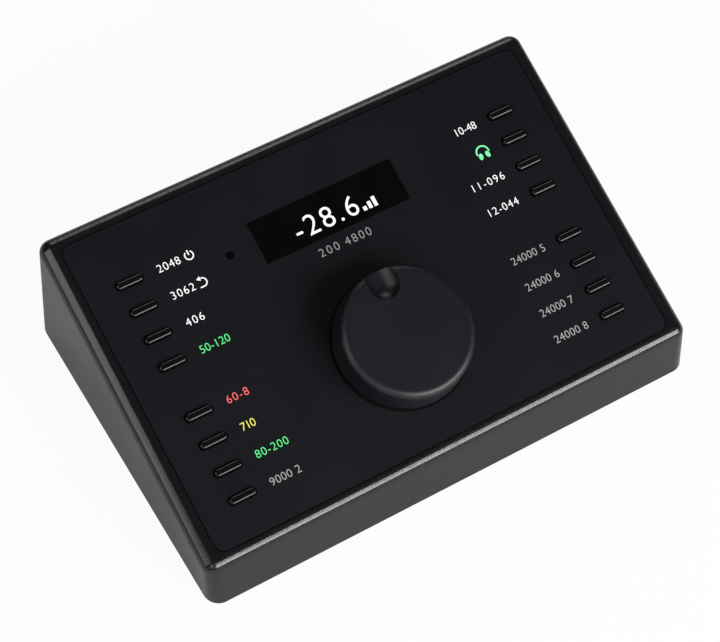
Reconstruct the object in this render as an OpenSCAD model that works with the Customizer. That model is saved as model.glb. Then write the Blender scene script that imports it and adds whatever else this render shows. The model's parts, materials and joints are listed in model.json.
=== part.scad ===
// Desktop studio monitor controller: a wedge-shaped case with a press-and-turn dial, sixteen
// bar keys, a small display under a dark window and a row of sockets in its back wall.
// X runs to the user's right, Y to the back and Z up. The origin lies on the table, under the
// middle of the case. Places on the sloping panel are given as u (right), v (up the slope) and
// h (out of the panel), from the middle of the panel's surface.

/* [Case] */
// Width of the case
case_w = 174; // [170:0.5:190]
// Depth of the case
case_d = 112.6; // [110:0.2:124]
// Height of the top's slope over the case's bottom, above the front foot line
front_h = 16.2; // [15.5:0.1:18]
// Height of the top's slope over the case's bottom, above the back wall
back_h = 48.5; // [47:0.1:52]
// Lean of the front wall, outwards to its foot, in degrees
front_lean = 13.6; // [12:0.1:15]
// Lean of the side walls, outwards to their foot, in degrees
side_lean = 1; // [0.5:0.1:1.5]
// Thickness of the upright walls
wall = 2.4; // [2:0.1:3]
// Thickness of the sloping top wall
top_wall = 3.2; // [2.8:0.1:4]
// Rounding of the top edges and of the corners between them
edge_r = 4; // [3.6:0.1:4.4]
// Rounding of the case's corners at its foot
corner_r = 5; // [4.5:0.1:5.5]

/* [Fascia] */
// Width of the flat land at each side, from the case's rounding to the seam of the fascia
land_side = 1.4; // [1.1:0.1:2]
// Width of the flat land at the front and the back, from the case's rounding to the seam
land_end = 0.7; // [0.6:0.1:1.2]
// Gap of the seam round the fascia
seam_gap = 0.3; // [0.2:0.05:0.5]
// Thickness of the fascia
fascia_t = 1.2; // [1:0.1:1.5]
// Corner radius of the fascia
fascia_r = 3; // [2:0.1:4]
// Width of the display window
window_w = 51.2; // [48:0.1:54]
// Height of the display window along the slope
window_d = 14.4; // [13:0.1:16]
// Distance of the display window's middle from the fascia's back edge
window_back = 23.8; // [23:0.1:25]
// Ledge of the case under each edge of the display window
window_ledge = 0.8; // [0.5:0.1:1.2]
// Diameter of the room sensor's hole
sensor_d = 2.8; // [2:0.1:3]

/* [Keys] */
// Distance of each column of keys from the side of the fascia
key_side = 14.3; // [13.5:0.1:15]
// Distance of the top row of keys from the fascia's back edge
key_back = 18.2; // [17:0.1:19]
// Distance of the bottom row of keys from the fascia's front edge
key_front = 12.3; // [11.5:0.1:13.5]
// Extra gap between the upper four and the lower four keys
key_group_gap = 7.8; // [6:0.1:9]
// Keys in each half of a column
keys_per_group = 4; // [4:1:4]
// Length of a key's bar
key_len = 8.9; // [8.2:0.1:9.6]
// Width of a key's bar
key_wid = 2.3; // [2.1:0.1:2.6]
// Height that a key stands over the fascia
key_rise = 1.2; // [0.8:0.1:1.6]
// Gap round a key in its slot
key_gap = 0.35; // [0.3:0.05:0.4]
// Rounding of a key's top edge
key_round = 0.65; // [0.5:0.05:0.75]
// Travel of a key
key_travel = 0.5; // [0.3:0.05:0.6]
// Diameter of the stem under a key
stem_d = 3.2; // [2.8:0.1:3.6]

/* [Dial] */
// Diameter of the dial at its top edge
dial_top_d = 42.2; // [38:0.2:44]
// Diameter of the dial at its foot
dial_base_d = 43.4; // [42.6:0.2:45]
// Height of the dial's top over the fascia
dial_h = 12; // [11.4:0.1:13.5]
// Distance of the dial's axis from the fascia's front edge
dial_front = 33.4; // [32:0.1:35]
// Gap between the dial's foot and the fascia
dial_gap = 0.9; // [0.8:0.1:1.4]
// Rounding of the dial's top rim
dial_round = 2.3; // [1.5:0.1:2.8]
// Wall of the dial's skirt
dial_wall = 2.6; // [2:0.1:3.5]
// Thickness of the dial's top over its hollow
dial_roof = 5; // [4.2:0.1:5.2]
// Distance from the dial's axis to the middle of the finger scoop's round end
scoop_out = 16.1; // [15:0.1:17.5]
// Width of the finger scoop at the dial's top
scoop_w = 10; // [9:0.1:11]
// Depth of the finger scoop
scoop_depth = 3.8; // [3:0.1:4]
// Travel of the dial when it is pressed
dial_travel = 0.5; // [0.3:0.05:0.5]

/* [Encoder] */
// Diameter of the encoder's shaft
shaft_d = 6; // [5:0.1:6.2]
// Depth of the flat on the shaft
shaft_flat = 1.5; // [1:0.1:1.8]
// Outer diameter of the threaded bush
bush_d = 9; // [8.4:0.1:9.6]
// Height of the bush over the fascia
bush_rise = 3.3; // [3:0.1:3.6]
// Thickness of the washer under the nut
washer_t = 0.5; // [0.4:0.1:0.8]
// Outer diameter of the washer
washer_d = 15; // [14:0.1:17]
// Thickness of the nut
nut_t = 2; // [1.6:0.1:2.2]
// Width of the nut across its corners
nut_d = 13.2; // [12.4:0.1:14]
// Side of the encoder's square body
encoder_w = 14; // [13:0.1:15]
// Outer diameter of the metal insert in the dial
insert_d = 10; // [9:0.1:11]

/* [Boards] */
// Thickness of both circuit boards
board_t = 1.6; // [1.2:0.1:2]
// Space between the top wall and the panel board
board_gap = 6.4; // [6.2:0.1:7]
// Distance of the panel board's side from the side of the fascia
board_side = 6.4; // [6:0.1:7]
// Distance of the panel board's front edge from the fascia's
board_front = 4.2; // [4:0.1:5]
// Distance of the panel board's back edge from the fascia's
board_back = 12; // [11.8:0.1:12.4]
// Gap between the main board and the case's bosses beside it
main_board_gap = 2; // [1.5:0.1:3]
// Depth of the main board
main_board_d = 60; // [58:0.5:62]
// Height of the standoffs under the main board
standoff_h = 5; // [4:0.1:6]
// Width of a standoff across its corners
standoff_d = 6.4; // [5.5:0.1:7]
// Width of the ribbon cable between the boards
ribbon_w = 22; // [18:0.5:24]
// Thickness of the ribbon cable
ribbon_t = 0.5; // [0.4:0.05:0.7]
// Height of a ribbon header
header_h = 3.4; // [3:0.1:4]
// Depth of a ribbon header
header_d = 6; // [5:0.1:7]
// Side of the processor
chip_w = 18; // [16:0.5:20]
// Height of the processor
chip_h = 2; // [1.6:0.1:2.4]
// Diameter of each capacitor
cap_d = 8; // [7:0.5:9]
// Height of each capacitor
cap_h = 8; // [7:0.5:9]
// Width of the shield can
can_w = 34; // [30:0.5:36]
// Depth of the shield can
can_d = 22; // [20:0.5:24]
// Height of the shield can
can_h = 5; // [4:0.1:6]

/* [Base] */
// Thickness of the base plate
plate_t = 2; // [1.6:0.1:2.4]
// Gap round the base plate
plate_gap = 0.25; // [0.15:0.05:0.4]
// Height of the feet under the case
foot_h = 1.6; // [1:0.1:2.5]
// Diameter of a foot
foot_d = 12; // [10:0.5:14]
// Depth of each foot's seat in the base plate
foot_seat = 0.8; // [0.5:0.1:1]
// Distance of a foot's middle from the case's side
foot_in_x = 20; // [19:0.5:26]
// Distance of a foot's middle from the case's front or back
foot_in_y = 17; // [16:0.5:24]
// Diameter of the screws in the case
screw_d = 3; // [2.6:0.1:3.2]
// Diameter of a screw's head
head_d = 5.8; // [5.2:0.1:6]
// Height of a screw's head
head_t = 1.7; // [1.4:0.1:1.8]
// Diameter of the bosses for the screws
boss_d = 7; // [6.6:0.1:7.4]
// Clearance between parts that slide into each other
fit = 0.05; // [0.03:0.01:0.1]

/* [Sockets] */
// Diameter of the hole in the headphone and line sockets
jack_bore_d = 6.4; // [6.3:0.05:6.5]
// Depth of the hole in the headphone and line sockets
jack_depth = 22; // [20:0.5:23]
// Diameter of their round noses
jack_nose_d = 11.4; // [10.5:0.1:12]
// Width of their bodies
jack_w = 15.6; // [15:0.1:16]
// Height of their bodies
jack_h = 14; // [13:0.1:15]
// Depth of their bodies
jack_d = 24; // [23.5:0.1:26]
// Diameter of the round digital socket
digital_d = 23; // [22:0.1:24]
// Width of a network socket
net_w = 16; // [15.5:0.1:16.4]
// Height of a network socket
net_h = 13.4; // [13:0.1:14]
// Depth of a network socket
net_d = 21; // [19:0.1:23]
// Gap between each socket and its cut-out in the back wall
cutout_gap = 0.25; // [0.15:0.05:0.4]

/* [Hidden] */
$fn = 48;
tilt = atan((back_h - front_h) / case_d);
lean = tan(front_lean);
mid_h = (front_h + back_h) / 2; // height of the slope over the case's bottom, above the origin
seat_gap = 0.05;
past = 1; // how far a cut runs past the face that it opens

// the flat of the top between its rounded edges, and the fascia on it
flat_front = top_front_y(0) / cos(tilt) + edge_r * tan((90 - tilt - front_lean) / 2);
flat_back = case_d / 2 / cos(tilt) - edge_r * tan((90 + tilt) / 2);
flat_w = case_w - 2 * mid_h * tan(side_lean) - 2 * edge_r;
fascia_w = flat_w - 2 * land_side - seam_gap;
fascia_d = flat_back - flat_front - 2 * land_end - seam_gap;
panel_mid_y = (flat_front + flat_back) / 2 * cos(tilt);
panel_mid_z = panel_z(panel_mid_y);

// places on the fascia
window_v = fascia_d / 2 - window_back;
key_u = fascia_w / 2 - key_side;
key_v = fascia_d / 2 - key_back;
dial_v = dial_front - fascia_d / 2;
keys_per_column = 2 * keys_per_group;
key_count = 2 * keys_per_column;
key_pitch = (fascia_d - key_back - key_front - key_group_gap) / (keys_per_column - 1);

// panel board and what stands on it, as heights h under the panel's surface
board_top = -(top_wall + board_gap);
board_low = board_top - board_t;
switch_w = 6.2;
switch_h = 3.7;
flange_rest = 0.15;
flange_t = 1;
flange_rim = 1.4;
flange_top = -(top_wall + flange_rest);
well_floor = 0.4;
stem_tip = board_top + well_floor + key_travel + 0.3;
stem_gap = 0.3;
legend_w = 14.4;
legend_d = 4.2;
light_box_rim = 1.5;
light_box_w = legend_w + 2 * light_box_rim;
light_gap = 0.1;
legend_u = key_u - key_len / 2 - flange_rim - 0.6 - light_box_w / 2;
oled_t = 1.8;
oled_side = 2.2;
oled_end = 2.5;
bracket_wall = 1.2;
sensor_u = (window_w / 2 + legend_u - legend_w / 2) / 2;
sensor_v = window_v + 0.2;
panel_board_w = fascia_w - 2 * board_side;
panel_board_d = fascia_d - board_front - board_back;
panel_board_v = (board_front - board_back) / 2;
panel_boss_u = legend_u - light_box_w / 2 - boss_d / 2 - 3.2;
panel_boss_front = panel_board_v - panel_board_d / 2 + boss_d / 2 + 1.2;
panel_boss_back = window_v - window_d / 2 - oled_end - light_gap - bracket_wall - boss_d / 2 - 1;
panel_boss_v = [panel_boss_front, (panel_boss_front + panel_boss_back) / 2, panel_boss_back];
panel_screw_l = board_t + board_gap - 1;

// dial and encoder, as heights h over the fascia
hub_low = bush_rise + dial_travel + 0.5;
insert_top = dial_h - dial_roof + 2;
shaft_top = insert_top - 0.6;
shaft_low = board_top + well_floor + 1 + dial_travel + 0.6;
rotor_d = 8.6;
rotor_t = 1.6;
plunger_t = 0.9;
plunger_d = 5;
encoder_h = board_gap - 0.3;
scoop_r = (scoop_w * scoop_w / 4 + scoop_depth * scoop_depth) / (2 * scoop_depth);

// base plate and main board, as heights z
plate_top = foot_h + plate_t;
main_low = plate_top + standoff_h;
main_top = main_low + board_t;
back_y = case_d / 2;
inner_back = back_y - wall;
main_mid_y = inner_back - 0.8 - main_board_d / 2;
boss_x = case_w / 2 - wall - boss_d / 2 - 1.6;
boss_y = case_d / 2 - wall - boss_d / 2 - 1.6;
boss_room = 2 * boss_x - boss_d;
main_board_w = boss_room - 2 * main_board_gap;
main_hole_x = main_board_w / 2 - 5;
main_hole_y = [main_mid_y - main_board_d / 2 + 5, main_mid_y - 1];
base_screw_l = 11;

// sockets, evenly spaced between the bosses, left to right as seen from the front
usb_w = 9;
usb_h = 3.3;
power_w = 9;
power_h = 11;
power_hole_d = 6.4;
socket_widths = [power_w, usb_w, net_w, net_w, digital_d, jack_w, jack_w, jack_w];
socket_count = len(socket_widths);
socket_space = (boss_room - widths_before(socket_count)) / (socket_count + 1);
power_x = socket_place(0);
usb_x = socket_place(1);
net_x = [socket_place(2), socket_place(3)];
digital_x = socket_place(4);
line_x = [socket_place(5), socket_place(6)];
phones_x = socket_place(7);
jack_axis_z = main_top + jack_h / 2;
digital_axis_z = main_top + digital_d / 2;

function key_row_v(row) =
    key_v - row * key_pitch - (row >= keys_per_group ? key_group_gap : 0);
function key_side(key) = key < keys_per_column ? -1 : 1;
function key_place(key) = [key_side(key) * key_u, key_row_v(key % keys_per_column)];
function panel_z(y) = foot_h + mid_h + y * tan(tilt);
function widths_before(i) = i < 1 ? 0 : socket_widths[i - 1] + widths_before(i - 1);
function socket_place(i) =
    widths_before(i) + socket_widths[i] / 2 + (i + 1) * socket_space - boss_room / 2;

// where the slope, lowered by drop, meets the front wall, moved in by inset
function top_front_y(drop, inset = 0) =
    (lean * (mid_h - drop / cos(tilt)) + inset / cos(front_lean) - case_d / 2) / (1 - lean * tan(tilt));

// ---- shared forms ----

module on_panel(u = 0, v = 0, h = 0) {
    translate([0, panel_mid_y, panel_mid_z]) rotate([tilt, 0, 0]) translate([u, v, h]) children();
}

module at_each_key() {
    for (key = [0:key_count - 1]) {
        translate([key_place(key)[0], key_place(key)[1], 0]) children();
    }
}

module at_each_legend(side) {
    for (row = [0:keys_per_column - 1]) {
        translate([side * legend_u, key_row_v(row), 0]) children();
    }
}

module at_corners(x, y) {
    for (side_x = [-1, 1], side_y = [-1, 1]) {
        translate([side_x * x, side_y * y, 0]) children();
    }
}

// flat slab with round corners, its middle at the origin and its foot at height 0
module slab(w, d, t, r) {
    translate([-w / 2, -d / 2 + r, 0]) cube([w, d - 2 * r, t]);
    translate([-w / 2 + r, -d / 2, 0]) cube([w - 2 * r, d, t]);
    at_corners(w / 2 - r, d / 2 - r) cylinder(r = r, h = t);
}

module block(w, d, t) {
    translate([-w / 2, -d / 2, 0]) cube([w, d, t]);
}

module bar(len, wid, t) {
    block(len - wid, wid, t);
    for (side = [-1, 1]) translate([side * (len - wid) / 2, 0, 0]) cylinder(d = wid, h = t);
}

// half of the case's width at height z, drawn in by inset
function wall_x(z, inset) = case_w / 2 - (z - foot_h) * tan(side_lean) - inset / cos(side_lean);

// the wedge of the case, drawn in by inset at the walls and by drop at the top
module wedge(inset, drop, r_top, r_foot, z_low) {
    top_ys = [top_front_y(drop + r_top, inset + r_top), case_d / 2 - inset - r_top];
    foot_ys = [
        (z_low - foot_h) * lean + inset / cos(front_lean) + r_foot - case_d / 2,
        case_d / 2 - inset - r_foot
    ];
    hull() {
        for (end = [0, 1], side = [-1, 1]) {
            z_top = panel_z(top_ys[end]) - (drop + r_top) / cos(tilt);
            translate([side * wall_x(z_top, inset + r_top), top_ys[end], z_top]) {
                sphere(r = r_top, $fn = 40);
            }
            translate([side * (wall_x(z_low, inset) - r_foot), foot_ys[end], z_low]) {
                cylinder(r = r_foot, h = 0.1, $fn = 40);
            }
        }
    }
}

// ---- case ----

module case_shell() {
    difference() {
        wedge(0, 0, edge_r, corner_r, foot_h);
        wedge(wall, top_wall, edge_r - wall, corner_r - wall, foot_h - past);
    }
}

module case_bosses() {
    intersection() {
        wedge(wall / 2, top_wall / 2, edge_r - wall / 2, corner_r - wall / 2, plate_top);
        union() {
            translate([0, 0, plate_top]) at_corners(boss_x, boss_y) cylinder(d = boss_d, h = back_h);
            on_panel(0, 0, board_top) {
                for (side = [-1, 1], v = panel_boss_v) {
                    translate([side * panel_boss_u, v, 0]) cylinder(d = boss_d, h = board_gap + 1);
                }
            }
        }
    }
}

module panel_cutouts() {
    on_panel(0, 0, -fascia_t - seat_gap) {
        slab(fascia_w + 2 * seam_gap, fascia_d + 2 * seam_gap, fascia_t + past, fascia_r + seam_gap);
    }
    on_panel(0, 0, -top_wall - past) {
        translate([0, window_v, 0]) {
            block(window_w - 2 * window_ledge, window_d - 2 * window_ledge, top_wall + past);
        }
        at_each_key() bar(key_len + 2 * key_gap, key_wid + 2 * key_gap, top_wall + past);
        for (side = [-1, 1]) at_each_legend(side) block(legend_w, legend_d, top_wall + past);
        translate([-sensor_u, sensor_v, 0]) cylinder(d = sensor_d, h = top_wall + past);
        translate([0, dial_v, 0]) cylinder(d = bush_d + 2 * fit, h = top_wall + past);
    }
    on_panel(0, 0, board_top - past) {
        for (side = [-1, 1], v = panel_boss_v) {
            translate([side * panel_boss_u, v, 0]) {
                cylinder(d = screw_d + 2 * fit, h = board_gap + past - 0.4);
            }
        }
    }
}

module back_cutouts() {
    grow = 2 * cutout_gap;
    reach = wall + past;
    translate([0, inner_back - past / 2, 0]) {
        for (x = concat(line_x, phones_x)) {
            translate([x, 0, jack_axis_z]) rotate([-90, 0, 0]) cylinder(d = jack_nose_d + grow, h = reach);
        }
        translate([digital_x, 0, digital_axis_z]) {
            rotate([-90, 0, 0]) cylinder(d = digital_d + grow, h = reach);
        }
        for (x = net_x) {
            translate([x - net_w / 2 - cutout_gap, 0, main_top - cutout_gap]) {
                cube([net_w + grow, reach, net_h + grow]);
            }
        }
        translate([usb_x, reach, main_top + usb_h / 2]) {
            rotate([90, 0, 0]) bar(usb_w + grow, usb_h + grow, reach);
        }
        translate([power_x - power_w / 2 - cutout_gap, 0, main_top - cutout_gap]) {
            cube([power_w + grow, reach, power_h + grow]);
        }
    }
}

module housing() {
    color("#202124") difference() {
        union() {
            case_shell();
            case_bosses();
        }
        panel_cutouts();
        back_cutouts();
        translate([0, 0, plate_top - past]) {
            at_corners(boss_x, boss_y) cylinder(d = screw_d + 2 * fit, h = base_screw_l + past);
        }
    }
}

module base_plate() {
    front = plate_t * lean + wall / cos(front_lean) + plate_gap - case_d / 2;
    back = inner_back - plate_gap;
    w = 2 * (wall_x(plate_top, wall) - plate_gap);
    color("#26272a") difference() {
        translate([0, (front + back) / 2, foot_h]) slab(w, back - front, plate_t, corner_r - wall);
        at_corners(case_w / 2 - foot_in_x, case_d / 2 - foot_in_y) {
            translate([0, 0, foot_h - past]) cylinder(d = foot_d + 4 * fit, h = foot_seat + past);
        }
        at_corners(boss_x, boss_y) {
            translate([0, 0, foot_h - past]) cylinder(d = screw_d + 4 * fit, h = plate_t + 2 * past);
            translate([0, 0, foot_h]) {
                cylinder(d1 = head_d + 4 * fit, d2 = screw_d + 4 * fit, h = head_t + 2 * fit);
            }
        }
    }
}

module feet() {
    color("#141414") at_corners(case_w / 2 - foot_in_x, case_d / 2 - foot_in_y) {
        cylinder(d1 = foot_d - 0.8, d2 = foot_d, h = 0.4);
        translate([0, 0, 0.4]) cylinder(d = foot_d, h = foot_h + foot_seat - 0.4 - seat_gap);
    }
}

module base_screws() {
    socket_d = 2.4;
    color("#3a3a3c") translate([0, 0, foot_h + fit]) at_corners(boss_x, boss_y) difference() {
        union() {
            cylinder(d1 = head_d, d2 = screw_d, h = head_t);
            cylinder(d = screw_d, h = base_screw_l);
        }
        translate([0, 0, -past]) cylinder(d = socket_d, h = past + 1, $fn = 6);
    }
}

// ---- panel ----

module fascia() {
    color("#17181b") on_panel(0, 0, -fascia_t) difference() {
        slab(fascia_w, fascia_d, fascia_t, fascia_r);
        translate([0, window_v, -past]) block(window_w, window_d, fascia_t + 2 * past);
        translate([0, 0, -past]) {
            at_each_key() bar(key_len + 2 * key_gap, key_wid + 2 * key_gap, fascia_t + 2 * past);
            translate([-sensor_u, sensor_v, 0]) cylinder(d = sensor_d, h = fascia_t + 2 * past);
            translate([0, dial_v, 0]) cylinder(d = bush_d + 2 * fit, h = fascia_t + 2 * past);
        }
    }
}

module display_window() {
    color("#060608") on_panel(0, window_v, -fascia_t) {
        block(window_w - 2 * fit, window_d - 2 * fit, fascia_t - seat_gap);
    }
}

module oled_module() {
    color("#0c0c10") on_panel(0, window_v, -top_wall - 0.2 - oled_t) {
        block(window_w + 2 * oled_side, window_d + 2 * oled_end, oled_t);
    }
}

module oled_bracket() {
    w = window_w + 2 * oled_side + 2 * light_gap;
    d = window_d + 2 * oled_end + 2 * light_gap;
    frame_h = board_gap - 0.2 - light_gap;
    color("#2b2d30") on_panel(0, window_v, board_top) difference() {
        block(w + 2 * bracket_wall, d + 2 * bracket_wall, frame_h);
        translate([0, 0, frame_h - oled_t]) block(w, d, oled_t + past);
        translate([0, 0, -past]) block(w - 2 * bracket_wall, d - 2 * bracket_wall, frame_h);
    }
}

module sensor_lens() {
    sunk = 0.5;
    color("#08080a") on_panel(-sensor_u, sensor_v, board_top + 1) {
        cylinder(d = sensor_d - 4 * fit, h = top_wall + board_gap - 1 - sunk);
    }
}

module room_sensor() {
    color("#1a1a1c") on_panel(-sensor_u, sensor_v, board_top) block(2.4, 2, 0.8);
}

module panel_board() {
    color("#14402c") on_panel(0, 0, board_low) difference() {
        translate([0, panel_board_v, 0]) slab(panel_board_w, panel_board_d, board_t, 2);
        for (side = [-1, 1], v = panel_boss_v) {
            translate([side * panel_boss_u, v, -past]) {
                cylinder(d = screw_d + 4 * fit, h = board_t + 2 * past);
            }
        }
    }
}

module panel_screws() {
    color("#b9bbbd") on_panel(0, 0, board_low - head_t) {
        for (side = [-1, 1], v = panel_boss_v) translate([side * panel_boss_u, v, 0]) difference() {
            union() {
                cylinder(d = head_d, h = head_t);
                cylinder(d = screw_d, h = head_t + panel_screw_l);
            }
            translate([0, 0, -past]) cylinder(d = 2.4, h = past + 1, $fn = 6);
        }
    }
}

module light_box(side) {
    box_h = board_gap - 2 * light_gap;
    top_v = key_row_v(0);
    foot_v = key_row_v(keys_per_column - 1);
    mid_v = (top_v + foot_v) / 2;
    color("#e8e8e4") on_panel(0, 0, board_top + light_gap) difference() {
        translate([side * legend_u, mid_v, 0]) {
            block(light_box_w, top_v - foot_v + legend_d + 2 * light_box_rim, box_h);
        }
        translate([0, 0, -past]) at_each_legend(side) block(legend_w, legend_d, box_h + 2 * past);
    }
}

module legend_leds() {
    led_out = 3.6;
    color("#f4f0d8") on_panel(0, 0, board_top) {
        for (side = [-1, 1]) at_each_legend(side) {
            for (half = [-1, 1]) translate([half * led_out, 0, 0]) block(2, 1.2, 0.8);
        }
    }
}

module key_switches() {
    well_d = stem_d + 2 * stem_gap;
    color("#303236") on_panel(0, 0, board_top) at_each_key() difference() {
        block(switch_w, switch_w, switch_h);
        translate([0, 0, well_floor]) cylinder(d = well_d, h = switch_h);
    }
}

// outline of a key's bar from its middle line outwards, with a rounded top edge
module key_outline(half, tall, round_r) {
    square([half, tall - round_r]);
    square([half - round_r, tall]);
    translate([half - round_r, tall - round_r]) intersection() {
        circle(r = round_r);
        square(round_r);
    }
}

module key(number) {
    place = key_place(number - 1);
    half = key_wid / 2;
    tall = key_rise - flange_top + flange_t;
    straight = key_len - key_wid;
    color("#1d1e22") on_panel(place[0], place[1], flange_top - flange_t) {
        for (side = [-1, 1]) translate([side * straight / 2, 0, 0]) {
            rotate_extrude() key_outline(half, tall, key_round);
        }
        translate([-straight / 2, 0, 0]) rotate([90, 0, 90]) linear_extrude(straight) {
            key_outline(half, tall, key_round);
            mirror([1, 0]) key_outline(half, tall, key_round);
        }
        bar(key_len + 2 * flange_rim, key_wid + 2 * flange_rim, flange_t);
    }
    color("#1d1e22") on_panel(place[0], place[1], stem_tip) {
        cylinder(d = stem_d, h = flange_top - stem_tip - flange_t / 2);
    }
}

// ---- dial ----

module encoder_body() {
    color("#8f9499") on_panel(0, dial_v, board_top) difference() {
        block(encoder_w, encoder_w, encoder_h);
        translate([0, 0, well_floor]) cylinder(d = rotor_d + 0.6, h = encoder_h - well_floor - 1);
        translate([0, 0, encoder_h - 1 - past]) cylinder(d = bush_d + 2 * fit, h = 1 + 2 * past);
    }
}

module encoder_bush() {
    foot = board_top + encoder_h - 1;
    color("#b8a468") on_panel(0, dial_v, foot) difference() {
        cylinder(d = bush_d, h = bush_rise - foot);
        translate([0, 0, -past]) cylinder(d = shaft_d + 2 * fit, h = bush_rise - foot + 2 * past);
    }
}

module encoder_washer() {
    color("#c4c6c8") on_panel(0, dial_v, 0) difference() {
        cylinder(d = washer_d, h = washer_t);
        translate([0, 0, -past]) cylinder(d = bush_d + 2 * fit, h = washer_t + 2 * past);
    }
}

module encoder_nut() {
    color("#c4c6c8") on_panel(0, dial_v, washer_t) difference() {
        cylinder(d = nut_d, h = nut_t, $fn = 6);
        translate([0, 0, -past]) cylinder(d = bush_d + 2 * fit, h = nut_t + 2 * past);
    }
}

module encoder_plunger() {
    color("#d8d8d8") on_panel(0, dial_v, shaft_low - 0.1 - plunger_t) {
        cylinder(d = plunger_d, h = plunger_t);
    }
}

module flatted_rod(d, flat, h) {
    difference() {
        cylinder(d = d, h = h);
        translate([-d, d / 2 - flat, -past]) cube([2 * d, d, h + 2 * past]);
    }
}

module encoder_shaft() {
    color("#c9cbcd") on_panel(0, dial_v, shaft_low) {
        cylinder(d = rotor_d, h = rotor_t);
        cylinder(d = shaft_d, h = hub_low - shaft_low);
        translate([0, 0, hub_low - shaft_low]) {
            flatted_rod(shaft_d, shaft_flat, shaft_top - hub_low);
        }
    }
}

module dial_insert() {
    color("#b8a468") on_panel(0, dial_v, hub_low) difference() {
        cylinder(d = insert_d, h = insert_top - hub_low);
        translate([0, 0, -past]) flatted_rod(shaft_d + 2 * fit, shaft_flat, shaft_top - hub_low + 2 * past);
    }
}

module dial_outline() {
    r_low = dial_base_d / 2;
    r_top = dial_top_d / 2;
    edge = 0.5;
    lean = atan((r_low - r_top) / (dial_h - dial_gap));
    steps = 8;
    rim = [
        for (step = [0:steps])
            let (a = lean + step * (90 - lean) / steps)
            [r_top - dial_round + dial_round * cos(a), dial_h - dial_round + dial_round * sin(a)]
    ];
    polygon(concat([[0, dial_gap], [r_low - edge, dial_gap], [r_low, dial_gap + edge]], rim, [[0, dial_h]]));
}

module dial_cap() {
    hollow_r = dial_base_d / 2 - dial_wall;
    hub_r = insert_d / 2 + 2.2;
    hollow_top = dial_h - dial_roof;
    color("#1b1c1f") on_panel(0, dial_v, 0) difference() {
        rotate_extrude($fn = 96) dial_outline();
        difference() {
            translate([0, 0, dial_gap - past]) cylinder(r = hollow_r, h = hollow_top - dial_gap + past);
            translate([0, 0, hub_low]) cylinder(r = hub_r, h = dial_h);
        }
        translate([0, 0, dial_gap - past]) cylinder(d = insert_d + 2 * fit, h = insert_top - dial_gap + past + fit);
        translate([0, scoop_out, dial_h + scoop_r - scoop_depth]) {
            sphere(r = scoop_r, $fn = 64);
            rotate([-90, 0, 0]) cylinder(r = scoop_r, h = dial_base_d / 2 - scoop_out + past);
        }
    }
}

// ---- boards and sockets inside ----

module main_board() {
    color("#14402c") translate([0, main_mid_y, main_low]) difference() {
        slab(main_board_w, main_board_d, board_t, 2);
        for (side = [-1, 1], y = main_hole_y) {
            translate([side * main_hole_x, y - main_mid_y, -past]) {
                cylinder(d = screw_d + 4 * fit, h = board_t + 2 * past);
            }
        }
    }
}

module board_standoffs() {
    color("#b8a468") for (side = [-1, 1], y = main_hole_y) {
        translate([side * main_hole_x, y, plate_top]) difference() {
            cylinder(d = standoff_d, h = standoff_h, $fn = 6);
            translate([0, 0, -past]) cylinder(d = screw_d + 2 * fit, h = standoff_h + 2 * past);
        }
    }
}

module board_screws() {
    color("#b9bbbd") for (side = [-1, 1], y = main_hole_y) {
        translate([side * main_hole_x, y, main_top]) difference() {
            union() {
                cylinder(d = head_d, h = head_t);
                translate([0, 0, -board_t - standoff_h + 1]) cylinder(d = screw_d, h = board_t + standoff_h);
            }
            translate([0, 0, head_t - 1]) cylinder(d = 2.4, h = past + 1, $fn = 6);
        }
    }
}

// a round-nosed socket for a 6.35 mm plug, opening to the back
module jack(x) {
    body_back = inner_back - 0.2;
    color("#1c1c1e") translate([x, 0, 0]) difference() {
        union() {
            translate([-jack_w / 2, body_back - jack_d, main_top]) cube([jack_w, jack_d, jack_h]);
            translate([0, body_back - 1, jack_axis_z]) rotate([-90, 0, 0]) {
                cylinder(d = jack_nose_d, h = back_y - body_back + 1);
            }
        }
        translate([0, back_y - jack_depth, jack_axis_z]) rotate([-90, 0, 0]) {
            cylinder(d = jack_bore_d, h = jack_depth + past);
        }
    }
}

// a three-pole round socket: a shell, a core with three contact holes and a ring gap between
module digital_socket() {
    length = 14;
    shell_wall = 1.8;
    ring_gap = 1.7;
    shell_bore = digital_d - 2 * shell_wall;
    core_d = shell_bore - 2 * ring_gap;
    groove = 11;
    contact_r = 4.75;
    color("#232426") translate([digital_x, back_y, digital_axis_z]) rotate([90, 0, 0]) difference() {
        cylinder(d = digital_d, h = length);
        translate([0, 0, -past]) difference() {
            cylinder(d = shell_bore, h = groove + past);
            cylinder(d = core_d, h = groove + 2 * past);
        }
        translate([0, 0, -past]) cylinder(d = shell_bore, h = past + 1);
        for (a = [90, 200, 340]) {
            rotate(a) translate([contact_r, 0, -past]) cylinder(d = 2.6, h = groove + past);
        }
    }
}

module network_socket(x) {
    mouth_w = 11.8;
    mouth_h = 8;
    mouth_d = 14;
    rim = 2;
    latch_w = 6;
    latch_h = 1.6;
    color("#9a9da1") translate([x, back_y, main_top]) difference() {
        translate([-net_w / 2, -net_d, 0]) cube([net_w, net_d, net_h]);
        translate([-mouth_w / 2, -mouth_d, rim]) cube([mouth_w, mouth_d + past, mouth_h]);
        translate([-latch_w / 2, -mouth_d, rim + mouth_h - past]) {
            cube([latch_w, mouth_d + past, latch_h + past]);
        }
    }
}

module usb_socket() {
    length = 8;
    skin = 0.35;
    tongue_w = 6.6;
    tongue_t = 0.7;
    color("#b4b7ba") translate([usb_x, back_y, main_top + usb_h / 2]) rotate([90, 0, 0]) {
        difference() {
            bar(usb_w, usb_h, length);
            translate([0, 0, -past]) bar(usb_w - 2 * skin, usb_h - 2 * skin, length - 1 + past);
        }
        translate([0, 0, 1]) block(tongue_w, tongue_t, length - 1);
    }
}

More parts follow.
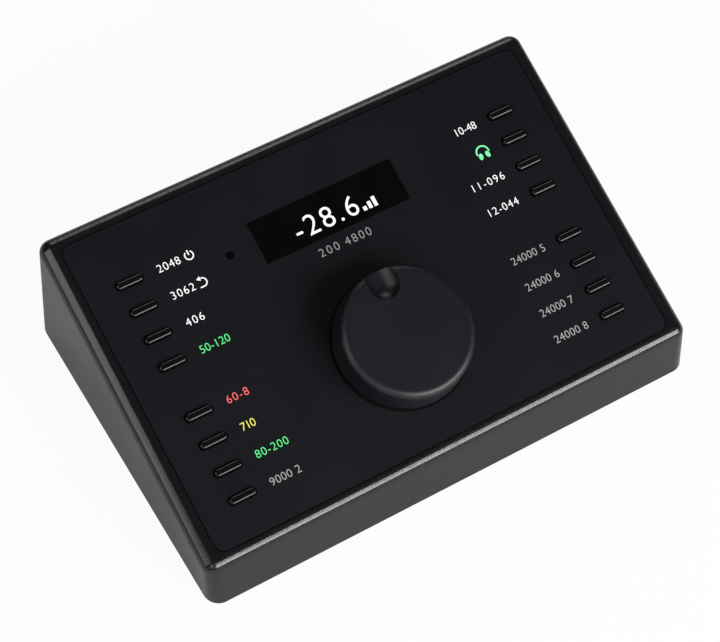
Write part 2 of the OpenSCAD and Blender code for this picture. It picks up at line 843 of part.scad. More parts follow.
module power_socket() {
    length = 13;
    depth = 9.5;
    axis_z = 6.2;
    color("#1c1c1e") translate([power_x, back_y, main_top]) difference() {
        translate([-power_w / 2, -length, 0]) cube([power_w, length, power_h]);
        translate([0, past, axis_z]) rotate([90, 0, 0]) difference() {
            cylinder(d = power_hole_d, h = depth + past);
            translate([0, 0, 2 + past]) cylinder(d = 2, h = depth);
        }
    }
}

// ---- ribbon between the boards: a flat cable on a smooth curve ----

header_in = 8; // from the main board's front edge to the middle of the lower header
header_side = 2; // how far a header reaches past the ribbon at each side
ribbon_shift = 7; // how far the upper header lies behind the lower one
ribbon_low = [main_mid_y - main_board_d / 2 + header_in, main_top + header_h];
ribbon_high_h = board_low - header_h;
ribbon_v = (ribbon_low[0] + ribbon_shift - panel_mid_y + ribbon_high_h * sin(tilt)) / cos(tilt);
ribbon_high = [
    ribbon_low[0] + ribbon_shift,
    panel_mid_z + ribbon_v * sin(tilt) + ribbon_high_h * cos(tilt)
];
function ribbon_bend() = (ribbon_high[1] - ribbon_low[1]) / 2;
function bezier(a, b, c, d, t) =
    a * pow(1 - t, 3) + b * 3 * t * pow(1 - t, 2) + c * 3 * t * t * (1 - t) + d * pow(t, 3);
function ribbon_point(t) = bezier(
    ribbon_low,
    ribbon_low + [0, ribbon_bend()],
    ribbon_high - ribbon_bend() * [-sin(tilt), cos(tilt)],
    ribbon_high,
    t
);

function ribbon_across(t) =
    let (step = 0.001, run = ribbon_point(t + step) - ribbon_point(t - step))
    [run[1], -run[0]] / norm(run) * ribbon_t / 2;

module ribbon_cable() {
    steps = 16;
    front_face = [for (i = [0:steps]) ribbon_point(i / steps) - ribbon_across(i / steps)];
    back_face = [for (i = [steps:-1:0]) ribbon_point(i / steps) + ribbon_across(i / steps)];
    color("#8d9196") translate([-ribbon_w / 2, 0, 0]) rotate([90, 0, 90]) {
        linear_extrude(ribbon_w) polygon(concat(front_face, back_face));
    }
}

module ribbon_headers() {
    color("#26282b") {
        translate([0, ribbon_low[0], main_top]) block(ribbon_w + 2 * header_side, header_d, header_h);
        on_panel(0, ribbon_v, ribbon_high_h) block(ribbon_w + 2 * header_side, header_d, header_h);
    }
}

module processor() {
    foot_part = 0.6;
    step_in = 1.5;
    color("#2a2b2e") translate([-main_board_w / 4, main_mid_y - chip_w / 2, main_top]) {
        block(chip_w, chip_w, chip_h * foot_part);
        block(chip_w - 2 * step_in, chip_w - 2 * step_in, chip_h);
    }
}

module capacitors() {
    space = 2;
    front = main_mid_y - main_board_d / 2;
    color("#34373c") translate([main_board_w / 4, front + cap_d / 2 + space, main_top]) {
        for (i = [0:2]) translate([i * (cap_d + space), 0, 0]) {
            cylinder(d = cap_d, h = cap_h);
        }
    }
}

module shield_can() {
    skin = 0.4;
    space = 1;
    can_back = inner_back - jack_d - 2 * space;
    color("#c0c3c6") translate([main_board_w / 4, can_back - can_d / 2, main_top]) difference() {
        block(can_w, can_d, can_h);
        translate([0, 0, -past]) block(can_w - 2 * skin, can_d - 2 * skin, can_h + past - skin);
    }
}

housing();
base_plate();
feet();
base_screws();
fascia();
display_window();
oled_module();
oled_bracket();
sensor_lens();
room_sensor();
panel_board();
panel_screws();
light_box(-1);  // light_box_left
light_box(1);  // light_box_right
legend_leds();
key_switches();
for (number = [1:key_count]) {
    key(number);
}
encoder_body();
encoder_bush();
encoder_washer();
encoder_nut();
encoder_plunger();
encoder_shaft();
dial_cap();
dial_insert();
main_board();
board_standoffs();
board_screws();
jack(phones_x);  // headphone_socket
jack(line_x[0]);  // line_socket_left
jack(line_x[1]);  // line_socket_right
digital_socket();
network_socket(net_x[0]);  // network_socket_1
network_socket(net_x[1]);  // network_socket_2
usb_socket();
power_socket();
ribbon_cable();
ribbon_headers();
processor();
capacitors();
shield_can();
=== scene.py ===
"""Finish and lettering of the desktop studio monitor controller, dressed round its CAD frame.

Lengths are in metres. Places on the sloping fascia are given as (u, v): u to the user's right and
v up the slope, both from the middle of the panel's surface.
"""
import json
import math

import bmesh
import bpy
from mathutils import Matrix, Vector


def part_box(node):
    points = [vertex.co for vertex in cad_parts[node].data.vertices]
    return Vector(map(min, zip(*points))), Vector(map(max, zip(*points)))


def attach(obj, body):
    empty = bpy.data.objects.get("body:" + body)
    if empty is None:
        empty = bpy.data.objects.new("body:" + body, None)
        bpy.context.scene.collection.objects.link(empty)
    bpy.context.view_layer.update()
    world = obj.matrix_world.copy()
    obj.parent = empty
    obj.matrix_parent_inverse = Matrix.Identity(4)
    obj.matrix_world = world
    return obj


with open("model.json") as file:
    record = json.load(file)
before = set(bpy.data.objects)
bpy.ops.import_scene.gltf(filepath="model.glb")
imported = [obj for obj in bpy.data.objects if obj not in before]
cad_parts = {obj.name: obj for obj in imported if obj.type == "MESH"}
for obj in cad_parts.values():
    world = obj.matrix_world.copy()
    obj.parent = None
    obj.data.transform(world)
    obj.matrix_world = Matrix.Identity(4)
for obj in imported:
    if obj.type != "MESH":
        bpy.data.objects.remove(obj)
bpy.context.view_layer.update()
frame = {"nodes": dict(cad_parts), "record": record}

MM = 0.001


# ---------------------------------------------------------------- places read from the frame
def middle_of(node):
    """The middle of a CAD node's box."""
    low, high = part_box(node)
    return (low + high) / 2


def box_in(space, node):
    """A CAD node's low and high corner, measured along the axes of another frame."""
    part = frame["nodes"][node]
    to_space = space.inverted() @ part.matrix_world
    points = [to_space @ vertex.co for vertex in part.data.vertices]
    return [Vector([pick(values) for values in zip(*points)]) for pick in (min, max)]


back_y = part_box("housing")[1].y

# the keys of a column stand in a straight line up the slope
column = middle_of("key_1") - middle_of("key_8")
lean = Matrix.Rotation(math.atan2(column.z, column.y), 4, "X")
fascia_mid = sum(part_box("fascia"), Vector()) / 2
fascia_low, fascia_high = box_in(lean, "fascia")
panel = (Matrix.Translation(fascia_mid) @ lean
         @ Matrix.Translation((0, 0, (fascia_high.z - fascia_low.z) / 2)))


def panel_spot(node):
    """Where the middle of a CAD node lies on the panel, as (u, v)."""
    low, high = box_in(panel, node)
    return ((low + high) / 2).xy


def on_panel(u, v, lift):
    """A frame on the panel: its X to the right, its Y up the slope, its Z out of the surface."""
    return panel @ Matrix.Translation((u, v, lift))


def out_of_back(x, z, lift=0.0):
    """A frame on the back wall: its X to the viewer's right behind the case, its Z out of the wall."""
    return (Matrix.Translation((x, back_y + lift, z)) @ Matrix.Rotation(math.pi, 4, "Z")
            @ Matrix.Rotation(math.pi / 2, 4, "X"))


# ---------------------------------------------------------------- shader maths
class Flow:
    """A value running through a finish. Arithmetic on it adds Math nodes."""

    def __init__(self, finish, socket):
        self.finish = finish
        self.socket = socket

    def maths(self, operation, *values):
        return self.finish.node("ShaderNodeMath", {"operation": operation}, dict(enumerate(values)))

    def __add__(self, other):
        return self.maths("ADD", self, other)

    def __sub__(self, other):
        return self.maths("SUBTRACT", self, other)

    def __rsub__(self, other):
        return self.maths("SUBTRACT", other, self)

    def __mul__(self, other):
        return self.maths("MULTIPLY", self, other)

    __radd__ = __add__
    __rmul__ = __mul__


class Finish:
    """A material, built node by node round its Principled shader."""

    def __init__(self, name):
        self.material = bpy.data.materials.new(name)
        self.material.use_nodes = True
        self.tree = self.material.node_tree
        self.shader = self.tree.nodes["Principled BSDF"]

    def plug(self, socket, value):
        if isinstance(value, Flow):
            self.tree.links.new(value.socket, socket)
        elif isinstance(value, (tuple, list)) and len(value) == 3 and socket.type == "RGBA":
            socket.default_value = (*value, 1)
        else:
            socket.default_value = value

    def node(self, kind, settings=None, inputs=None, output=0):
        """Adds a node: its settings first, then the values or links of its sockets."""
        made = self.tree.nodes.new(kind)
        for name, value in (settings or {}).items():
            if name == "stops":
                self.set_stops(made.color_ramp, value)
            else:
                setattr(made, name, value)
        for name, value in (inputs or {}).items():
            self.plug(made.inputs[name], value)
        return Flow(self, made.outputs[output])

    @staticmethod
    def set_stops(ramp, stops):
        while len(ramp.elements) < len(stops):
            ramp.elements.new(0.5)
        for element, (place, level) in zip(ramp.elements, stops):
            element.position = place
            element.color = (level, level, level, 1)

    def place(self):
        """Where a point lies in the object's own frame."""
        return self.node("ShaderNodeTexCoord", output="Object")

    def noise(self, size, detail=2, stretch=(1, 1, 1)):
        """Noise from 0 to 1 whose features are about as large as size."""
        spot = self.node("ShaderNodeVectorMath", {"operation": "MULTIPLY"},
                         {0: self.place(), 1: stretch})
        return self.node("ShaderNodeTexNoise", {}, {"Vector": spot, "Scale": 1 / size, "Detail": detail})

    def ramp(self, value, stops):
        return self.node("ShaderNodeValToRGB", {"stops": stops}, {"Fac": value})

    def blend(self, amount, first, second):
        """Mixes two colours."""
        return self.node("ShaderNodeMix", {"data_type": "RGBA"},
                         {"Factor": amount, 6: first, 7: second}, output=2)

    def bump(self, height, strength, depth):
        """A relief in the surface, for the shader's Normal."""
        return self.node("ShaderNodeBump", {},
                         {"Height": height, "Strength": strength, "Distance": depth})

    def set(self, **sockets):
        """Sets or links sockets of the shader; an underscore stands for a space in a socket's name."""
        for name, value in sockets.items():
            self.plug(self.shader.inputs[name.replace("_", " ")], value)
        return self.material


def shade(colour, factor):
    """A colour made lighter or darker by a factor."""
    return tuple(min(1, c * factor) for c in colour)


# ---------------------------------------------------------------- finishes
def moulded(name, colour, rough, grain=0.4 * MM, grain_depth=0.02 * MM, spread=0.25):
    """Moulded plastic: a fine spark texture, with faint clouds in its colour and gloss."""
    finish = Finish(name)
    spark = finish.noise(size=grain, detail=3)
    cloud = finish.noise(size=22 * MM)
    tone = spark * 0.6 + cloud * 0.4
    gloss_change = (spark - 0.5) * 0.16 + (cloud - 0.5) * 0.1
    return finish.set(
        Base_Color=finish.blend(tone, shade(colour, 1 - spread), shade(colour, 1 + spread)),
        Roughness=rough + gloss_change,
        Normal=finish.bump(spark, strength=0.5, depth=grain_depth))


def film(name, colour, rough):
    """Matt printed film: a very fine tooth and a few paler specks."""
    finish = Finish(name)
    tooth = finish.noise(size=0.22 * MM)
    cloud = finish.noise(size=30 * MM)
    speck = finish.ramp(finish.noise(size=0.7 * MM, detail=1), [(0.76, 0), (0.82, 1)])
    base = finish.blend(tooth * 0.5 + cloud * 0.5, shade(colour, 0.8), shade(colour, 1.2))
    gloss_change = (tooth - 0.5) * 0.14 + (cloud - 0.5) * 0.08
    return finish.set(
        Base_Color=finish.blend(speck * 0.35, base, shade(colour, 3)),
        Roughness=rough + gloss_change,
        Normal=finish.bump(tooth, strength=0.35, depth=0.01 * MM),
        Specular_IOR_Level=0.32)


def gloss(name, colour, rough=0.06):
    """Smoked gloss plastic with a slight flow in its surface."""
    finish = Finish(name)
    flow = finish.noise(size=9 * MM, detail=1)
    smear = finish.noise(size=2.5 * MM, detail=3, stretch=(1, 0.3, 0.3))
    return finish.set(
        Base_Color=finish.blend(flow, shade(colour, 0.7), shade(colour, 1.3)),
        Roughness=rough + smear * 0.05,
        Normal=finish.bump(flow, strength=0.04, depth=0.02 * MM),
        IOR=1.49)


def metal(name, colour, rough, brushed=(1, 1, 1)):
    """Plated or turned metal with fine tool marks."""
    finish = Finish(name)
    marks = finish.noise(size=0.3 * MM, detail=3, stretch=brushed)
    stain = finish.noise(size=5 * MM)
    return finish.set(
        Base_Color=finish.blend(stain, shade(colour, 0.85), shade(colour, 1.08)),
        Roughness=rough + (marks - 0.5) * 0.2,
        Normal=finish.bump(marks, strength=0.25, depth=0.01 * MM),
        Metallic=1.0)


def rubber(name, colour):
    """Matt rubber with a dusty, pitted skin."""
    finish = Finish(name)
    pits = finish.noise(size=0.6 * MM, detail=4)
    dust = finish.ramp(finish.noise(size=3 * MM, detail=4), [(0.45, 0), (0.8, 1)])
    return finish.set(
        Base_Color=finish.blend(dust * 0.4, colour, shade(colour, 2.4)),
        Roughness=0.72 + pits * 0.2,
        Normal=finish.bump(pits, strength=0.5, depth=0.05 * MM))


def felt(name, colour):
    """Pressed felt: matt, with a tangle of short fibres. It dresses only the ring of painted shade under the
    dial.
    """
    finish = Finish(name)
    fibres = finish.noise(size=0.25 * MM, detail=5, stretch=(1, 3, 1))
    return finish.set(
        Base_Color=finish.blend(fibres, shade(colour, 0.5), shade(colour, 1.6)),
        Roughness=0.85 + fibres * 0.15,
        Normal=finish.bump(fibres, strength=0.8, depth=0.05 * MM),
        Specular_IOR_Level=0.1)


def circuit_board(name):
    """Solder mask over a mesh of copper tracks."""
    finish = Finish(name)
    tracks = finish.node("ShaderNodeTexBrick", {"offset": 0.5, "squash": 1.0}, {
        "Vector": finish.place(), "Scale": 1 / (6 * MM), "Mortar Size": 0.06,
        "Color1": (0, 0, 0), "Color2": (0, 0, 0), "Mortar": (1, 1, 1)})
    weave = finish.noise(size=0.5 * MM)
    return finish.set(
        Base_Color=finish.blend(tracks, (0.006, 0.045, 0.022), (0.02, 0.11, 0.05)),
        Roughness=0.32 + weave * 0.15,
        Normal=finish.bump(tracks * 0.6 + weave * 0.2, strength=0.4, depth=0.04 * MM))


def lit(name, colour):
    """Ink lit from behind, a little uneven like light through a thin print."""
    finish = Finish(name)
    flow = finish.noise(size=0.8 * MM, detail=1)
    return finish.set(
        Base_Color=shade(colour, 0.3),
        Emission_Color=finish.blend(flow, shade(colour, 0.92), shade(colour, 1.06)),
        Emission_Strength=1.0,
        Roughness=0.6)


CASE_BLACK = (0.0055, 0.0058, 0.0068)
FILM_BLACK = (0.0044, 0.0048, 0.0068)
KEY_BLACK = (0.0022, 0.0023, 0.003)
DIAL_BLACK = (0.0028, 0.0029, 0.0062)

# one finish for each material slot of the record
finishes = {
    "case_plastic": moulded("case_satin_spark", CASE_BLACK, 0.22, grain=0.5 * MM, grain_depth=0.075 * MM),
    "fascia_film": film("fascia_matt_film", FILM_BLACK, 0.4),
    "window_gloss": gloss("window_smoked_gloss", (0.0008, 0.0008, 0.001)),
    "display_glass": gloss("display_black_glass", (0.003, 0.003, 0.004), 0.03),
    "key_plastic": moulded("key_satin", KEY_BLACK, 0.24, grain=0.25 * MM, grain_depth=0.004 * MM),
    "soft_touch": moulded("dial_soft_touch", DIAL_BLACK, 0.43, grain=0.2 * MM, grain_depth=0.006 * MM),
    "foot_rubber": rubber("foot_rubber", (0.012, 0.012, 0.012)),
    "base_steel": moulded("base_powder_coat", (0.02, 0.02, 0.022), 0.5, grain=0.6 * MM,
                          grain_depth=0.05 * MM),
    "dark_steel": metal("screw_black_oxide", (0.06, 0.06, 0.065), 0.4),
    "bright_steel": metal("plated_steel", (0.6, 0.61, 0.62), 0.3),
    "brass_metal": metal("turned_brass", (0.72, 0.53, 0.24), 0.28, brushed=(1, 1, 12)),
    "socket_plastic": moulded("socket_black", (0.012, 0.012, 0.013), 0.38, grain=0.3 * MM,
                              grain_depth=0.01 * MM),
    "socket_metal": metal("socket_shell", (0.58, 0.59, 0.6), 0.32, brushed=(8, 1, 1)),
    "inner_plastic": moulded("inner_black", (0.03, 0.03, 0.032), 0.5),
    "light_box_white": moulded("light_box_white", (0.75, 0.75, 0.72), 0.5, spread=0.05),
    "led_resin": gloss("led_resin", (0.75, 0.68, 0.4), 0.15),
    "board_green": circuit_board("board_solder_mask"),
    "ribbon_grey": moulded("ribbon_sleeve", (0.3, 0.32, 0.34), 0.45, grain=0.5 * MM),
}
for subpart in frame["record"]["subparts"]:
    node = frame["nodes"][subpart["node"]]
    node.data.materials.clear()
    node.data.materials.append(finishes[subpart["material_slot"]])

INK = {
    "white": lit("legend_white", (0.86, 0.86, 0.86)),
    "green": lit("legend_green", (0.09, 0.72, 0.2)),
    "mint": lit("legend_mint", (0.17, 0.78, 0.34)),
    "red": lit("legend_red", (0.86, 0.12, 0.12)),
    "yellow": lit("legend_yellow", (0.78, 0.74, 0.11)),
    "grey": lit("legend_grey", (0.3, 0.3, 0.3)),
    "dim": lit("status_grey", (0.22, 0.22, 0.22)),
    "print": moulded("back_print", (0.45, 0.45, 0.46), 0.6, grain=0.3 * MM, grain_depth=0.004 * MM),
}


# ---------------------------------------------------------------- meshes and pieces
def add_piece(name, mesh, body, finish):
    """Puts a mesh into the scene as a piece that moves with a body of the part."""
    piece = bpy.data.objects.new(name, mesh)
    bpy.context.collection.objects.link(piece)
    mesh.materials.clear()
    mesh.materials.append(finish)
    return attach(piece, body)


def mesh_of(name, shape):
    """Turns a shape made with bmesh into a mesh, its faces looking outwards."""
    bmesh.ops.recalc_face_normals(shape, faces=shape.faces)
    mesh = bpy.data.meshes.new(name)
    shape.to_mesh(mesh)
    shape.free()
    return mesh


def prism_mesh(name, outlines, thick):
    """Closed flat solids, one from each outline of (u, v) points."""
    shape = bmesh.new()
    for outline in outlines:
        low = [shape.verts.new((x, y, 0)) for x, y in outline]
        high = [shape.verts.new((x, y, thick)) for x, y in outline]
        shape.faces.new(list(reversed(low)))
        shape.faces.new(high)
        for i in range(len(outline)):
            j = (i + 1) % len(outline)
            shape.faces.new((low[i], low[j], high[j], high[i]))
    return mesh_of(name, shape)


def blocks_mesh(name, blocks):
    """Closed boxes, each given by its low and its high corner."""
    shape = bmesh.new()
    for low, high in blocks:
        middle = (Vector(low) + Vector(high)) / 2
        size = Vector(high) - Vector(low)
        bmesh.ops.create_cube(shape, size=1, matrix=Matrix.Translation(middle) @ Matrix.Diagonal((*size, 1)))
    return mesh_of(name, shape)


def turned_mesh(name, outline, steps=64):
    """A closed ring turned about Z from a closed outline of (radius, height) points."""
    shape = bmesh.new()
    loops = []
    for i in range(steps):
        a = 2 * math.pi * i / steps
        loops.append([shape.verts.new((r * math.cos(a), r * math.sin(a), z)) for r, z in outline])
    for i in range(steps):
        here, there = loops[i], loops[(i + 1) % steps]
        for j in range(len(outline)):
            k = (j + 1) % len(outline)
            shape.faces.new((here[j], there[j], there[k], here[k]))
    return mesh_of(name, shape)


# ---------------------------------------------------------------- printed and lit marks
INK_LIFT = 0.02 * MM
INK_THICK = 0.03 * MM
STROKE_THINNING = -0.006  # of the figures' type size


def spaced_figures(name, text, height, spacing):
    """Plain figures of that height as thin solids, their lower left corner at the origin."""
    curve = bpy.data.curves.new(name, "FONT")
    curve.body = text
    curve.extrude = 0.5
    curve.space_character = spacing
    curve.offset = STROKE_THINNING
    stand_in = bpy.data.objects.new(name, curve)
    bpy.context.collection.objects.link(stand_in)
    bpy.context.view_layer.update()
    mesh = bpy.data.meshes.new_from_object(stand_in.evaluated_get(bpy.context.evaluated_depsgraph_get()))
    bpy.data.objects.remove(stand_in)
    xs = [p.co.x for p in mesh.vertices]
    ys = [p.co.y for p in mesh.vertices]
    scale = height / (max(ys) - min(ys))
    mesh.transform(Matrix.Diagonal((scale, scale, INK_THICK, 1))
                   @ Matrix.Translation((-min(xs), -min(ys), 0.5)))
    return mesh, (max(xs) - min(xs)) * scale


def figures_mesh(name, text, height, width=None):
    """Figures as a mesh, set apart until the whole is as wide as asked, and their width."""
    mesh, close = spaced_figures(name, text, height, 1.0)
    if width is None:
        return mesh, close
    wide = spaced_figures(name, text, height, 2.0)[1]
    return spaced_figures(name, text, height, 1 + (width - close) / (wide - close))


def print_figures(name, text, height, u, v, ink, align="left", width=None):
    """Puts plain figures on the panel, their foot at v, starting or ending at u."""
    mesh, covered = figures_mesh(name, text, height, width)
    start = u if align == "left" else u - covered
    mesh.transform(on_panel(start, v, INK_LIFT))
    add_piece(name, mesh, "case", INK[ink])


def print_shape(name, outlines, u, v, ink):
    """Puts a flat mark on the panel, its own origin at (u, v)."""
    mesh = prism_mesh(name, outlines, INK_THICK)
    mesh.transform(on_panel(u, v, INK_LIFT))
    add_piece(name, mesh, "case", INK[ink])


def arc(radius, start, end, steps=40):
    """Points of an arc, from start to end in degrees."""
    angles = [math.radians(start + (end - start) * i / steps) for i in range(steps + 1)]
    return [(radius * math.cos(a), radius * math.sin(a)) for a in angles]


def arc_band(radius, width, start, end):
    """Outline of a bent band, from start to end in degrees."""
    return arc(radius + width / 2, start, end) + arc(radius - width / 2, start, end)[::-1]


def box_outline(u0, u1, v0, v1):
    return [(u0, v0), (u1, v0), (u1, v1), (u0, v1)]


LEGEND_EDGE = 57.1 * MM
LEGEND_H = 2.5 * MM


def legend(number, text, width, ink):
    """The number beside a key, on the side of the panel's middle."""
    key = panel_spot(f"key_{number}")
    align, edge = ("left", -LEGEND_EDGE) if key.x < 0 else ("right", LEGEND_EDGE)
    print_figures(f"legend_{number}", text, LEGEND_H, edge, key.y - LEGEND_H / 2, ink,
                  align=align, width=width)


# each key's plain number, the width that it takes in mm and its ink; key 10 has a sign instead
LEGENDS = {
    1: ("2048", 7.6, "white"), 2: ("3062", 7.8, "white"), 3: ("406", 6.1, "white"),
    4: ("50-120", 10.0, "green"), 5: ("60-8", 7.3, "red"), 6: ("710", 4.7, "yellow"),
    7: ("80-200", 11.0, "green"), 8: ("9000 2", 10.3, "grey"),
    9: ("10-48", 7.4, "white"), 11: ("11-096", 11.6, "white"), 12: ("12-044", 10.8, "white"),
    13: ("24000 5", 12.2, "grey"), 14: ("24000 6", 12.2, "grey"),
    15: ("24000 7", 12.2, "grey"), 16: ("24000 8", 12.2, "grey"),
}
for number, (text, width, ink) in LEGENDS.items():
    legend(number, text, width * MM, ink)

SIGN_R = 1.35 * MM
SIGN_LINE = 0.4 * MM


def standby_sign():
    """An open ring with a bar in its gap."""
    bar_foot, bar_tip = 0.1 * MM, 1.75 * MM
    bar = box_outline(-SIGN_LINE / 2, SIGN_LINE / 2, bar_foot, bar_tip)
    return [arc_band(SIGN_R, SIGN_LINE, 125, 415), bar]


def return_sign():
    """A hooked arrow that comes back to the left."""
    tail_end, tip_end, tip_root, tip_half = -1.3 * MM, -1.5 * MM, -0.2 * MM, 0.75 * MM
    hook = arc_band(SIGN_R, SIGN_LINE, -90, 90)
    tail = box_outline(tail_end, 0, -SIGN_R - SIGN_LINE / 2, -SIGN_R + SIGN_LINE / 2)
    tip = [(tip_end, SIGN_R), (tip_root, SIGN_R - tip_half), (tip_root, SIGN_R + tip_half)]
    return [hook, tail, tip]


def headphone_sign():
    """A headband and two ear cups, each an oval that leans with the band."""
    band_r, band_line = 2.1 * MM, 0.55 * MM
    cup_out, cup_down, cup_half_w, cup_half_h = 1.25 * MM, -1.15 * MM, 0.72 * MM, 1.1 * MM
    cup_lean, cup_points = math.radians(14), 24
    cups = []
    for side in (-1, 1):
        turn = Matrix.Rotation(side * cup_lean, 2)
        ring = arc(1, 0, 360, cup_points)[:-1]
        oval = [turn @ Vector((cup_half_w * x, cup_half_h * y)) for x, y in ring]
        cups.append([(side * cup_out + point.x, cup_down + point.y) for point in oval])
    return [arc_band(band_r, band_line, -12, 192)] + cups


STANDBY_U = -46.3 * MM
RETURN_U = -46.5 * MM
HEADPHONES_U = 54.6 * MM
headphones_v = panel_spot("key_10").y + 0.1 * MM
print_shape("sign_standby", standby_sign(), STANDBY_U, panel_spot("key_1").y, "white")
print_shape("sign_return", return_sign(), RETURN_U, panel_spot("key_2").y, "white")
print_shape("sign_headphones", headphone_sign(), HEADPHONES_U, headphones_v, "mint")

# the display: a level in plain figures, and three rising bars beside it
READING_H = 6.6 * MM
READING_W = 22 * MM
READING_END = 9 * MM
READING_DROP = 4.8 * MM  # from the window's middle to the figures' foot
BARS = 3
BARS_START = 10.2 * MM
BAR_PITCH = 1.9 * MM
BAR_W = 1.2 * MM
BAR_H = 1.4 * MM
BAR_RISE = 0.95 * MM
window_v = panel_spot("display_window").y
reading_v = window_v - READING_DROP
print_figures("display_reading", "-28.6", READING_H, READING_END, reading_v, "white",
              align="right", width=READING_W)
bars = [box_outline(i * BAR_PITCH, i * BAR_PITCH + BAR_W, 0, BAR_H + i * BAR_RISE) for i in range(BARS)]
print_shape("display_bars", bars, BARS_START, reading_v, "white")

# two dim numbers under the window, each with its start and its width in mm
RATE_H = 2.7 * MM
RATE_DROP = 12.41 * MM
for name, text, start, width in (("rate_1", "200", -9.4, 6.9), ("rate_2", "4800", -0.3, 9.2)):
    print_figures(name, text, RATE_H, start * MM, window_v - RATE_DROP, "dim", width=width * MM)


# ---------------------------------------------------------------- trim of the dial and the sockets
# painted shade: a thin near-black felt-like ring on the fascia under the dial's foot, standing in for the
# dark shadow in the gap there; its section is (radius, height) in mm
PAINTED_SHADE_SECTION = [(19.5, 0.01), (22.3, 0.01), (22.3, 0.16), (19.5, 0.16)]
painted_shade_ring = turned_mesh("painted_shade_ring", [(r * MM, z * MM) for r, z in PAINTED_SHADE_SECTION], steps=96)
painted_shade_ring.transform(on_panel(*panel_spot("encoder_washer"), 0))
add_piece("painted_shade_ring", painted_shade_ring, "case", felt("painted_shade_black", (0.0015, 0.0015, 0.0018)))

# a plated collar round the hole of each 6.35 mm socket; its section is (radius, height) in mm
COLLAR = [(3.25, 0.02), (4.5, 0.02), (4.5, 0.16), (4.2, 0.34), (3.6, 0.34), (3.25, 0.15)]
JACKS = ("line_socket_left", "line_socket_right", "headphone_socket")
for jack in JACKS:
    mesh = turned_mesh(f"collar_{jack}", [(r * MM, z * MM) for r, z in COLLAR])
    mesh.transform(out_of_back(middle_of(jack).x, middle_of(jack).z))
    add_piece(f"collar_{jack}", mesh, "case", finishes["bright_steel"])

# eight sprung contacts and two small lights in each network socket
NETWORK_SOCKETS = ("network_socket_1", "network_socket_2")
CONTACTS = 8
CONTACT_PITCH = 1.02 * MM
CONTACT_W = 0.44 * MM
CONTACT_THICK = 0.45 * MM
CONTACT_RISE = 2.05 * MM  # over the socket's underside
CONTACT_START = 3.4 * MM  # in from the back wall
CONTACT_END = 12 * MM
LAMP_OUT = 5.2 * MM  # from the socket's middle
LAMP_W = 2.6 * MM
LAMP_H = 1.6 * MM
LAMP_DOWN = 0.8 * MM  # under the socket's top
LAMP_PROUD = 0.12 * MM
for name in NETWORK_SOCKETS:
    low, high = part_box(name)
    mid_x, floor = (low.x + high.x) / 2, low.z + CONTACT_RISE
    contacts = []
    for i in range(CONTACTS):
        x = mid_x + (i - (CONTACTS - 1) / 2) * CONTACT_PITCH
        contacts.append(((x - CONTACT_W / 2, back_y - CONTACT_END, floor),
                         (x + CONTACT_W / 2, back_y - CONTACT_START, floor + CONTACT_THICK)))
    add_piece(f"contacts_{name}", blocks_mesh("contacts", contacts), "case", finishes["brass_metal"])
    top = high.z - LAMP_DOWN
    for side, ink in ((-1, "green"), (1, "yellow")):
        x = mid_x + side * LAMP_OUT
        lamp = [((x - LAMP_W / 2, back_y, top - LAMP_H), (x + LAMP_W / 2, back_y + LAMP_PROUD, top))]
        add_piece(f"light_{ink}_{name}", blocks_mesh("light", lamp), "case", INK[ink])

# plain numbers on the back wall, one over each socket
SOCKETS = ("power_socket", "usb_socket", *NETWORK_SOCKETS, "digital_socket", *JACKS)
NUMBER_H = 2.2 * MM
NUMBER_GAP = 1.6 * MM
for number, name in enumerate(SOCKETS, 1):
    mesh, width = figures_mesh(f"socket_number_{number}", str(number), NUMBER_H)
    mesh.transform(out_of_back(middle_of(name).x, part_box(name)[1].z + NUMBER_GAP, INK_LIFT)
                   @ Matrix.Translation((-width / 2, 0, 0)))
    add_piece(f"socket_number_{number}", mesh, "case", INK["print"])


# ---------------------------------------------------------------- table, light and camera
SEEN_GLOW = 0.94  # share of plain white in the table as the camera sees it
MIRRORED_GLOW = 0.02  # the same as reflections and clear pieces see it


def table_finish():
    """Pale matt table that the camera sees nearly white, with the shadow kept."""
    finish = Finish("pale_table")
    grain = finish.noise(size=40 * MM)
    finish.set(
        Base_Color=finish.blend(grain, (0.8, 0.8, 0.8), (0.84, 0.84, 0.84)),
        Roughness=0.9,
        Specular_IOR_Level=0.2)
    seen = finish.node("ShaderNodeLightPath", output="Is Camera Ray")
    mirrored = (finish.node("ShaderNodeLightPath", output="Is Glossy Ray")
                + finish.node("ShaderNodeLightPath", output="Is Transmission Ray"))
    glow = finish.node("ShaderNodeEmission", {}, {"Color": (1, 1, 1), "Strength": 1.0})
    mixed = finish.node("ShaderNodeMixShader", {}, {
        0: seen * SEEN_GLOW + mirrored * MIRRORED_GLOW, 1: Flow(finish, finish.shader.outputs[0]), 2: glow})
    finish.tree.links.new(mixed.socket, finish.tree.nodes["Material Output"].inputs["Surface"])
    return finish.material


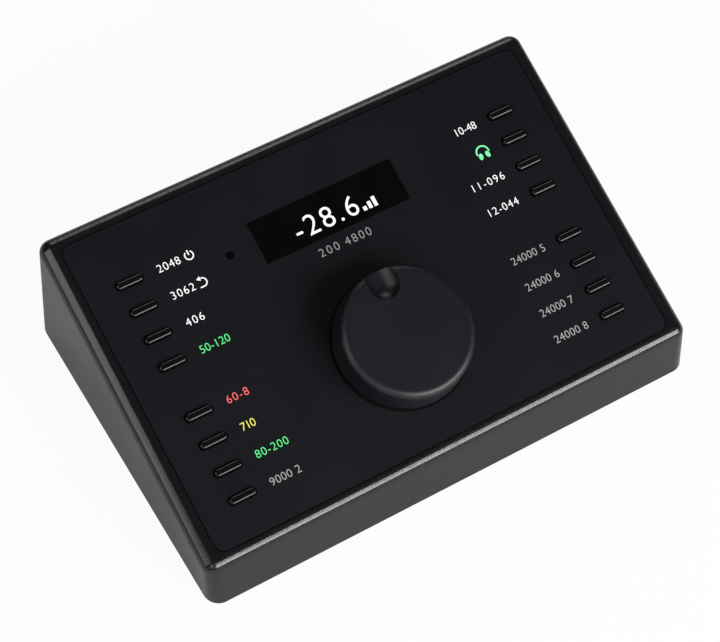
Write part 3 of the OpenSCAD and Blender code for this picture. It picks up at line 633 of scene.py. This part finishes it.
TABLE_HALF = 3.0
table_mesh = bpy.data.meshes.new("table")
table_mesh.from_pydata(
    [(x * TABLE_HALF, y * TABLE_HALF, 0) for x, y in ((-1, -1), (1, -1), (1, 1), (-1, 1))],
    [], [(0, 1, 2, 3)])
table_mesh.materials.append(table_finish())
table = bpy.data.objects.new("table", table_mesh)
bpy.context.collection.objects.link(table)

LIGHT_AIM = Vector((0, 0, 0.03))


def area_light(name, place, size, watts):
    """A softbox that looks at the case; its size is its width and its height."""
    lamp = bpy.data.lights.new(name, "AREA")
    lamp.shape = "RECTANGLE"
    lamp.size, lamp.size_y = size
    lamp.energy = watts
    holder = bpy.data.objects.new(name, lamp)
    bpy.context.collection.objects.link(holder)
    holder.location = place
    holder.rotation_euler = (LIGHT_AIM - Vector(place)).to_track_quat("-Z", "Y").to_euler()


area_light("front_softbox", place=(0.4, -1.05, 0.55), size=(1.1, 0.5), watts=21)
area_light("left_softbox", place=(-1.0, 0.1, 0.78), size=(0.5, 1.4), watts=6)
area_light("corner_softbox", place=(-0.78, -0.85, 0.68), size=(0.6, 0.5), watts=2.6)
area_light("back_light", place=(0.5, 1.1, 0.8), size=(0.8, 0.5), watts=3.8)

ROOM_GREY = (0.5, 0.5, 0.5, 1)
ROOM_STRENGTH = 0.1
world = bpy.data.worlds.new("studio")
bpy.context.scene.world = world
world.use_nodes = True
room = world.node_tree.nodes["Background"].inputs
room["Color"].default_value = ROOM_GREY
room["Strength"].default_value = ROOM_STRENGTH

# the photograph's view from the front left, worked out from the case's edges in it
PHOTO_WIDTH_PX = 720
FOCAL_PX = 2253.99
SENSOR_MM = 36.0
NEAREST = 10 * MM
CAMERA_PLACE = (-225.828 * MM, -281.846 * MM, 624.503 * MM)
CAMERA_TURN_DEG = (30.367, -4.333, -30.952)
camera_data = bpy.data.cameras.new("photo_view")
camera_data.sensor_width = SENSOR_MM
camera_data.lens = FOCAL_PX / PHOTO_WIDTH_PX * SENSOR_MM
camera_data.clip_start = NEAREST
camera = bpy.data.objects.new("photo_view", camera_data)
camera.location = CAMERA_PLACE
camera.rotation_euler = [math.radians(a) for a in CAMERA_TURN_DEG]
bpy.context.collection.objects.link(camera)
bpy.context.scene.camera = camera
bpy.context.scene.view_settings.view_transform = "Standard"
